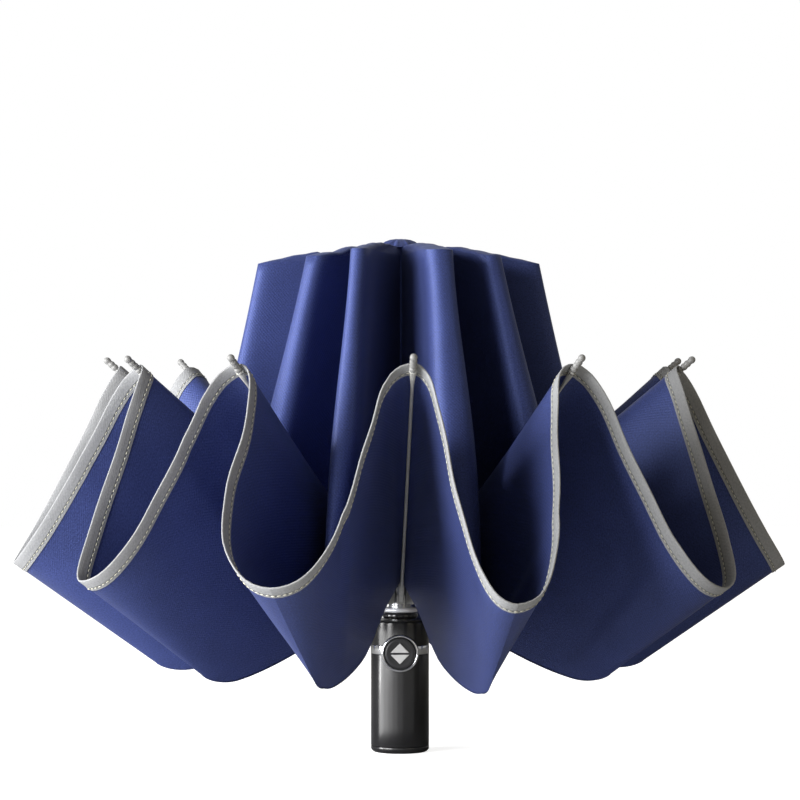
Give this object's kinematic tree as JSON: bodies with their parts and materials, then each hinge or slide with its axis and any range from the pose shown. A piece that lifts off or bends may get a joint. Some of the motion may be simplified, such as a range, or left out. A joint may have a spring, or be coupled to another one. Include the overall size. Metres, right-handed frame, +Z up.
{
  "type": "inverted umbrella",
  "caption": "Compact reverse-folding umbrella, handle down, canopy gathered loosely round its shut telescopic pole with the taped rim turned up on its hinged outer ribs.",
  "frame": {"origin": "centre of the handle's flat foot, on the ground", "axes": "+Z up along the pole, -Y towards the side with the push button, +X to the viewer's right"},
  "size_m": [0.4747, 0.4444, 0.3177],
  "materials": {
    "handle_black": "satin black moulded shell",
    "cap_black": "black base cap",
    "collar_black": "glossy black collar",
    "chrome_trim": "bright plated trim",
    "ring_metal": "bright ring at the foot of the pole",
    "button_black": "dark push button",
    "arrow_grey": "light grey arrows",
    "spring_steel": "spring wire",
    "pole_steel": "drawn steel tube",
    "lock_plastic": "black inner plastic",
    "rib_metal": "grey metal rib",
    "tip_plastic": "pale grey tip",
    "canopy_cloth": "royal blue satin polyester",
    "rim_tape": "grey woven tape with a cream stitch"
  },
  "bodies": {
    "handle": {"handle_shell": "handle_black", "base_cap": "cap_black", "top_collar": "collar_black", "collar_ring": "ring_metal", "trim_band": "chrome_trim", "button_bezel": "chrome_trim", "button_spring": "spring_steel", "lock_body": "lock_plastic", "pole_lower": "pole_steel"},
    "button": {"button_cap": "button_black", "arrow_up": "arrow_grey", "arrow_down": "arrow_grey"},
    "pole_mid": {"pole_mid": "pole_steel"},
    "crown": {"pole_upper": "pole_steel", "crown_notch": "lock_plastic", "notch_wire": "spring_steel", "crown_cap": "canopy_cloth", "runner": "lock_plastic", "canopy_upper": "canopy_cloth", "rim_binding": "rim_tape", "inner_rib_01": "rib_metal", "inner_rib_02": "rib_metal", "inner_rib_03": "rib_metal", "inner_rib_04": "rib_metal", "inner_rib_05": "rib_metal", "inner_rib_06": "rib_metal", "inner_rib_07": "rib_metal", "inner_rib_08": "rib_metal", "inner_rib_09": "rib_metal", "inner_rib_10": "rib_metal"},
    "rib_01": {"outer_rib_01": "rib_metal", "tip_01": "tip_plastic", "skirt_01": "canopy_cloth"},
    "rib_02": {"outer_rib_02": "rib_metal", "tip_02": "tip_plastic", "skirt_02": "canopy_cloth"},
    "rib_03": {"outer_rib_03": "rib_metal", "tip_03": "tip_plastic", "skirt_03": "canopy_cloth"},
    "rib_04": {"outer_rib_04": "rib_metal", "tip_04": "tip_plastic", "skirt_04": "canopy_cloth"},
    "rib_05": {"outer_rib_05": "rib_metal", "tip_05": "tip_plastic", "skirt_05": "canopy_cloth"},
    "rib_06": {"outer_rib_06": "rib_metal", "tip_06": "tip_plastic", "skirt_06": "canopy_cloth"},
    "rib_07": {"outer_rib_07": "rib_metal", "tip_07": "tip_plastic", "skirt_07": "canopy_cloth"},
    "rib_08": {"outer_rib_08": "rib_metal", "tip_08": "tip_plastic", "skirt_08": "canopy_cloth"},
    "rib_09": {"outer_rib_09": "rib_metal", "tip_09": "tip_plastic", "skirt_09": "canopy_cloth"},
    "rib_10": {"outer_rib_10": "rib_metal", "tip_10": "tip_plastic", "skirt_10": "canopy_cloth"}
  },
  "joints": [
    {"name": "button_press", "type": "slide", "parent": "handle", "child": "button", "axis": [0, 1, 0], "range_m": [0, 0.0025], "stiffness_N_per_m": 300, "deforming": ["button_spring"]},
    {"name": "pole_mid_slide", "type": "slide", "parent": "handle", "child": "pole_mid", "axis": [0, 0, 1], "range_m": [0, 0.125]},
    {"name": "pole_upper_slide", "type": "slide", "parent": "pole_mid", "child": "crown", "axis": [0, 0, 1], "range_m": [0, 0.125]},
    {"name": "outer_rib_fold_01", "type": "hinge", "parent": "crown", "child": "rib_01", "pos_m": [0.00067, -0.01599, 0.095], "axis": [-0.9991, -0.0419, 0], "range_deg": [-25, 38], "deforming": ["skirt_01", "rim_binding"]},
    {"name": "outer_rib_fold_02", "type": "hinge", "parent": "crown", "child": "rib_02", "pos_m": [0.00906, -0.01319, 0.095], "axis": [-0.8241, -0.5664, 0], "range_deg": [-25, 38], "deforming": ["skirt_02"]},
    {"name": "outer_rib_fold_03", "type": "hinge", "parent": "crown", "child": "rib_03", "pos_m": [0.01541, -0.0043, 0.095], "axis": [-0.2689, -0.9632, 0], "range_deg": [-25, 38], "deforming": ["skirt_03"]},
    {"name": "outer_rib_fold_04", "type": "hinge", "parent": "crown", "child": "rib_04", "pos_m": [0.01545, 0.00414, 0.095], "axis": [0.2588, -0.9659, 0], "range_deg": [-25, 38], "deforming": ["skirt_04"]},
    {"name": "outer_rib_fold_05", "type": "hinge", "parent": "crown", "child": "rib_05", "pos_m": [0.00824, 0.01371, 0.095], "axis": [0.8572, -0.515, 0], "range_deg": [-25, 38], "deforming": ["skirt_05"]},
    {"name": "outer_rib_fold_06", "type": "hinge", "parent": "crown", "child": "rib_06", "pos_m": [-0.00223, 0.01584, 0.095], "axis": [0.9903, 0.1392, 0], "range_deg": [-25, 38], "deforming": ["skirt_06"]},
    {"name": "outer_rib_fold_07", "type": "hinge", "parent": "crown", "child": "rib_07", "pos_m": [-0.01261, 0.00985, 0.095], "axis": [0.6157, 0.788, 0], "range_deg": [-25, 38], "deforming": ["skirt_07"]},
    {"name": "outer_rib_fold_08", "type": "hinge", "parent": "crown", "child": "rib_08", "pos_m": [-0.01597, 0.00098, 0.095], "axis": [0.061, 0.9981, 0], "range_deg": [-25, 38], "deforming": ["skirt_08"]},
    {"name": "outer_rib_fold_09", "type": "hinge", "parent": "crown", "child": "rib_09", "pos_m": [-0.01407, -0.00761, 0.095], "axis": [-0.4756, 0.8796, 0], "range_deg": [-25, 38], "deforming": ["skirt_09"]},
    {"name": "outer_rib_fold_10", "type": "hinge", "parent": "crown", "child": "rib_10", "pos_m": [-0.00841, -0.01361, 0.095], "axis": [-0.8508, 0.5255, 0], "range_deg": [-25, 38], "deforming": ["skirt_10"]}
  ],
  "couplings": [
    {"joint": "pole_upper_slide", "follows": "pole_mid_slide", "ratio": 1},
    {"joint": "outer_rib_fold_02", "follows": "outer_rib_fold_01", "ratio": 1},
    {"joint": "outer_rib_fold_03", "follows": "outer_rib_fold_01", "ratio": 1},
    {"joint": "outer_rib_fold_04", "follows": "outer_rib_fold_01", "ratio": 1},
    {"joint": "outer_rib_fold_05", "follows": "outer_rib_fold_01", "ratio": 1},
    {"joint": "outer_rib_fold_06", "follows": "outer_rib_fold_01", "ratio": 1},
    {"joint": "outer_rib_fold_07", "follows": "outer_rib_fold_01", "ratio": 1},
    {"joint": "outer_rib_fold_08", "follows": "outer_rib_fold_01", "ratio": 1},
    {"joint": "outer_rib_fold_09", "follows": "outer_rib_fold_01", "ratio": 1},
    {"joint": "outer_rib_fold_10", "follows": "outer_rib_fold_01", "ratio": 1}
  ]
}
